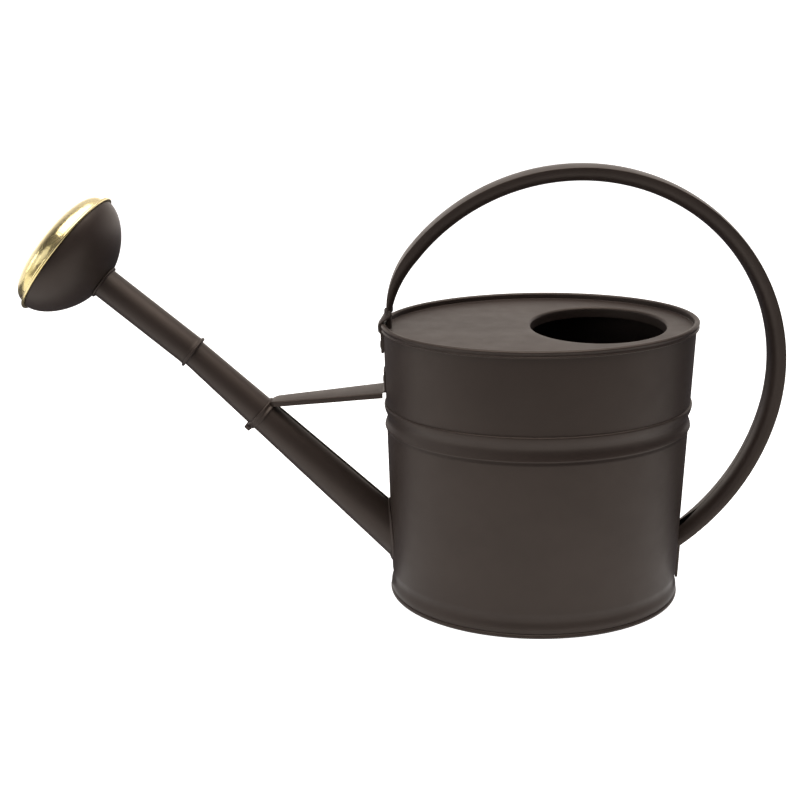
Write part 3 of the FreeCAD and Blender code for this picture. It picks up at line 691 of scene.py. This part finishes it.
def drilled(obj, drill):
    """Cuts one object's holes into another and keeps the result as a plain mesh."""
    modifier = obj.modifiers.new("holes", "BOOLEAN")
    modifier.operation = "DIFFERENCE"
    modifier.solver = "EXACT"
    modifier.object = drill
    graph = bpy.context.evaluated_depsgraph_get()
    mesh = bpy.data.meshes.new_from_object(obj.evaluated_get(graph))
    obj.modifiers.clear()
    obj.data = mesh
    bpy.data.objects.remove(drill)
    return obj


def face_drills():
    """A short many-sided pin for each hole of the face, ring by ring."""
    verts, faces = [], []
    sides = 14
    for ring in range(FACE_HOLE_RINGS):
        count = max(1, 6 * ring)
        for k in range(count):
            turn = 2 * math.pi * (k + 0.5 * (ring % 2)) / count
            reach = ring * FACE_HOLE_PITCH
            cu, cv = reach * math.cos(turn), reach * math.sin(turn)
            start = len(verts)
            for station in (BOWL_END + 2.0, BOWL_END + FACE_HEIGHT + 6.0):
                for j in range(sides):
                    a = 2 * math.pi * j / sides
                    u, v = cu + FACE_HOLE_R * math.cos(a), cv + FACE_HOLE_R * math.sin(a)
                    verts.append(ROSE.at(station, math.hypot(u, v), math.atan2(v, u)))
            faces.append(tuple(range(start, start + sides)))
            faces.append(tuple(range(start + sides, start + 2 * sides)))
            for j in range(sides):
                n = (j + 1) % sides
                faces.append((start + j, start + n, start + sides + n, start + sides + j))
    return mesh_object("face_drills", verts, faces)


def face_dome():
    """The domed, drilled sheet of the face."""
    foot = BOWL_END + GAP + FACE_ROLL_R
    centre = FACE_RIM_R - FACE_ROLL_R
    outer, inner = [], []
    for k in range(48):
        t = math.pi / 2 * k / 48.0
        radius = (centre - FACE_LEDGE) * math.cos(t) ** FACE_FULLNESS
        height = foot + (FACE_HEIGHT - FACE_ROLL_R) * math.sin(t) ** FACE_FULLNESS
        outer.append((radius, height))
        inner.append((max(0.02, radius - FACE_SHEET * math.cos(t)), height - FACE_SHEET * math.sin(t)))
    outer.append((0.02, foot + FACE_HEIGHT - FACE_ROLL_R))
    inner.append((0.02, foot + FACE_HEIGHT - FACE_ROLL_R - FACE_SHEET))
    dome = ROSE.lathe("rose_dome", outer + list(reversed(inner)), 200, sharp=50.0)
    return drilled(dome, face_drills())


def face_bead():
    """The face's edge, rolled to a bead round the bowl's rim, and the ledge that joins it to the dome."""
    centre = FACE_RIM_R - FACE_ROLL_R
    foot = BOWL_END + GAP + FACE_ROLL_R
    roll = arc(centre, foot, FACE_ROLL_R, FACE_ROLL_R, -160, 160, 18)
    roll += [(centre - FACE_LEDGE - 0.6, foot + 0.4), (centre - FACE_LEDGE - 0.6, foot - 0.4)]
    return ROSE.lathe("rose_bead", roll, 200)


def sleeve():
    """The long socket, tapering a little from its mouth to the bowl."""
    mouth, start = SLEEVE_R_MOUTH, SLEEVE_R_MOUTH - 0.15
    outline = [(SLEEVE_BORE_R, -1.3), (mouth, -1.3), (mouth, MOUTH_RING_WIDTH)]
    outline += [(start, MOUTH_RING_WIDTH + 0.4)]
    outline += [(start + (SLEEVE_R_TOP - mouth + 0.15) * k / 8.0, 4.0 + 83.0 * k / 8.0) for k in range(9)]
    outline += [(SLEEVE_R_TOP, SLEEVE_LENGTH), (SLEEVE_BORE_R, SLEEVE_LENGTH), (SLEEVE_BORE_R, 40.0)]
    return ROSE.lathe("rose_sleeve_tube", outline)


def bead_ring(name, inner, outer, middle, width):
    """A rolled ring: rounded outside, straight inside."""
    half = width / 2.0
    outline = [(inner, middle - half), (outer - half, middle - half)]
    outline += arc(outer - half, middle, half, half, -75, 75, 10)
    outline += [(outer - half, middle + half), (inner, middle + half)]
    return ROSE.lathe(name, outline, 96, sharp=50.0)


# ---- build ------------------------------------------------------------------------------------------
coated(wall(), "can", "body_shell")
coated(rings_mesh("can_lid", lid_rings(), sharp=40.0), "can", "lid")
coated(spout_tube(), "can", "spout")
coated(solder_bead(), "can")
coated(hoop(), "can", "handle")
coated(tongue(), "can", "handle")
coated(clip(), "can", "handle_clip")
coated(brace(), "can", "strut")
coated(brace_tab(), "can", "strut")
coated(clamp_band(), "can", "spout_clamp")
coated(clamp_ears(), "can", "spout_clamp")
coated(bead_ring("mouth_bead", SLEEVE_R_MOUTH + 0.05, MOUTH_RING_R, 0.0, MOUTH_RING_WIDTH),
       "ring", "mouth_ring")
coated(sleeve(), "rose", "rose_sleeve")
coated(bead_ring("neck_bead", SLEEVE_R_TOP + GAP, NECK_RING_R, BOWL_START - GAP - NECK_RING_WIDTH / 2,
                 NECK_RING_WIDTH), "rose", "rose_neck_ring")
coated(bowl(), "rose", "rose_bowl")
finish_piece(face_dome(), "rose", BRASS, "brass", "rose_face")
finish_piece(face_bead(), "rose", BRASS, "brass", "rose_face")

for name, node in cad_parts.items():
    material = BRASS if name == "rose_face" else COAT
    node.data.materials.clear()
    node.data.materials.append(material)


# ---- floor, lights and camera -------------------------------------------------------------------------
def straight_look(nodes, links, strength, least):
    """At least this bright when looked at directly; its light and reflections keep their strength."""
    path = nodes.new("ShaderNodeLightPath")
    pale = ranged(nodes, links, path.outputs["Is Camera Ray"], 0.0, least, 0.0, 1.0)
    return combined(nodes, links, "MAXIMUM", strength, pale.outputs["Result"])


def floor_paper(name, strength):
    """Glowing white paper that falls off to grey well in front of the can."""
    material, nodes, links, bsdf = new_material(name)
    coords = nodes.new("ShaderNodeTexCoord")
    split = nodes.new("ShaderNodeSeparateXYZ")
    links.new(coords.outputs["Object"], split.inputs["Vector"])
    depth = ranged(nodes, links, split.outputs["Y"], 0.0, 1.0, -0.85, -0.33)
    depth.interpolation_type = "SMOOTHSTEP"
    tone = ramp(nodes, links, depth.outputs["Result"], ((0.0, (0.22, 0.22, 0.22)), (1.0, (0.62, 0.62, 0.62))))
    links.new(tone.outputs["Color"], bsdf.inputs["Base Color"])
    glow = ranged(nodes, links, depth.outputs["Result"], 0.0, strength, 0.0, 1.0)
    seen = straight_look(nodes, links, glow.outputs["Result"], 1.0)
    links.new(seen, bsdf.inputs["Emission Strength"])
    bsdf.inputs["Roughness"].default_value = 0.9
    bsdf.inputs["Emission Color"].default_value = (1.0, 1.0, 1.0, 1.0)
    return material


def floor():
    """Two sheets that meet under the can; the rear one is kept out of the can's reflections."""
    size = 12.0
    for name, front, back, glow in (("floor_front", -size, 0.0, 0.62), ("floor_rear", 0.0, size, 0.95)):
        mesh = bpy.data.meshes.new(name)
        corners = [(-size, front, 0), (size, front, 0), (size, back, 0), (-size, back, 0)]
        mesh.from_pydata(corners, [], [(0, 1, 2, 3)])
        mesh.materials.append(floor_paper(name, glow))
        obj = bpy.data.objects.new(name, mesh)
        bpy.context.scene.collection.objects.link(obj)
        obj.visible_glossy = name == "floor_front"
        obj.visible_diffuse = name == "floor_front"


def area_light(name, place, target, size_x, size_y, watts, colour=(1.0, 1.0, 1.0)):
    data = bpy.data.lights.new(name, "AREA")
    data.shape = "RECTANGLE"
    data.size, data.size_y = size_x, size_y
    data.energy = watts
    data.color = colour
    obj = bpy.data.objects.new(name, data)
    bpy.context.scene.collection.objects.link(obj)
    obj.location = place
    obj.rotation_euler = (Vector(target) - Vector(place)).to_track_quat("-Z", "Y").to_euler()
    return obj


def studio():
    """A room that lights the can from behind and above, is dim in front, and looks white itself."""
    world = bpy.data.worlds.new("studio")
    bpy.context.scene.world = world
    world.use_nodes = True
    nodes, links = world.node_tree.nodes, world.node_tree.links
    nodes.clear()
    out = nodes.new("ShaderNodeOutputWorld")
    background = nodes.new("ShaderNodeBackground")
    coords = nodes.new("ShaderNodeTexCoord")
    split = nodes.new("ShaderNodeSeparateXYZ")
    links.new(coords.outputs["Generated"], split.inputs["Vector"])
    behind = ranged(nodes, links, split.outputs["Y"], 0.0, 1.0, 0.1, 0.85)
    behind.interpolation_type = "SMOOTHSTEP"
    above = ranged(nodes, links, split.outputs["Z"], 0.0, 1.0, -0.18, -0.11)
    higher = ranged(nodes, links, split.outputs["Z"], 1.0, 0.47, 0.14, 0.32)
    rear = combined(nodes, links, "MULTIPLY", behind.outputs["Result"], above.outputs["Result"])
    soft = combined(nodes, links, "MULTIPLY", rear, higher.outputs["Result"])
    strength = ranged(nodes, links, soft, 0.10, 1.75, 0.0, 1.0)
    tint = ramp(nodes, links, rear, ((0.0, (0.92, 0.88, 1.0)), (1.0, (1.0, 0.92, 0.85))))
    links.new(tint.outputs["Color"], background.inputs["Color"])
    seen = straight_look(nodes, links, strength.outputs["Result"], 1.25)
    links.new(seen, background.inputs["Strength"])
    links.new(background.outputs["Background"], out.inputs["Surface"])
    area_light("top_softbox", (0.1, -0.1, 1.8), (0, 0, 0.15), 2.2, 1.8, 46.0, (1.0, 0.93, 0.86))
    area_light("left_softbox", (-1.9, -0.3, 0.52), (-0.35, 0, 0.3), 2.2, 1.0, 6.0)
    area_light("front_softbox", (-1.22, -1.28, 0.74), (-0.39, 0, 0.31), 1.1, 0.9, 3.0)
    area_light("left_window", (-1.75, -0.05, 0.68), (-0.35, 0, 0.3), 0.16, 0.5, 1.2)


CAMERA_TURNS = (-4.6984, 23.9488, -2.0495)      # yaw, pitch and roll in degrees, fitted to the outline
CAMERA_PLACE = (-51.817, -814.650, 469.324)
FOCAL_PIXELS, IMAGE_PIXELS, SENSOR_WIDTH = 1002.445, 800.0, 36.0


def camera():
    """The camera stands a little left of the can, looks down at it, and is rolled slightly."""
    yaw, pitch, roll = (math.radians(v) for v in CAMERA_TURNS)
    forward = Vector((math.sin(yaw) * math.cos(pitch), math.cos(yaw) * math.cos(pitch), -math.sin(pitch)))
    level = forward.cross(Vector((0, 0, 1))).normalized()
    up = level.cross(forward)
    right = level * math.cos(roll) + up * math.sin(roll)
    above = up * math.cos(roll) - level * math.sin(roll)
    data = bpy.data.cameras.new("camera")
    data.sensor_width = SENSOR_WIDTH
    data.lens = FOCAL_PIXELS / IMAGE_PIXELS * SENSOR_WIDTH
    data.shift_y = 0.1
    data.clip_start, data.clip_end = 0.01, 60.0
    obj = bpy.data.objects.new("camera", data)
    bpy.context.scene.collection.objects.link(obj)
    matrix = Matrix((right, above, -forward)).transposed().to_4x4()
    matrix.translation = Vector(CAMERA_PLACE) * MM
    obj.matrix_world = matrix
    bpy.context.scene.camera = obj


floor()
studio()
camera()
bpy.context.scene.view_settings.view_transform = "Standard"

bpy.context.view_layer.update()
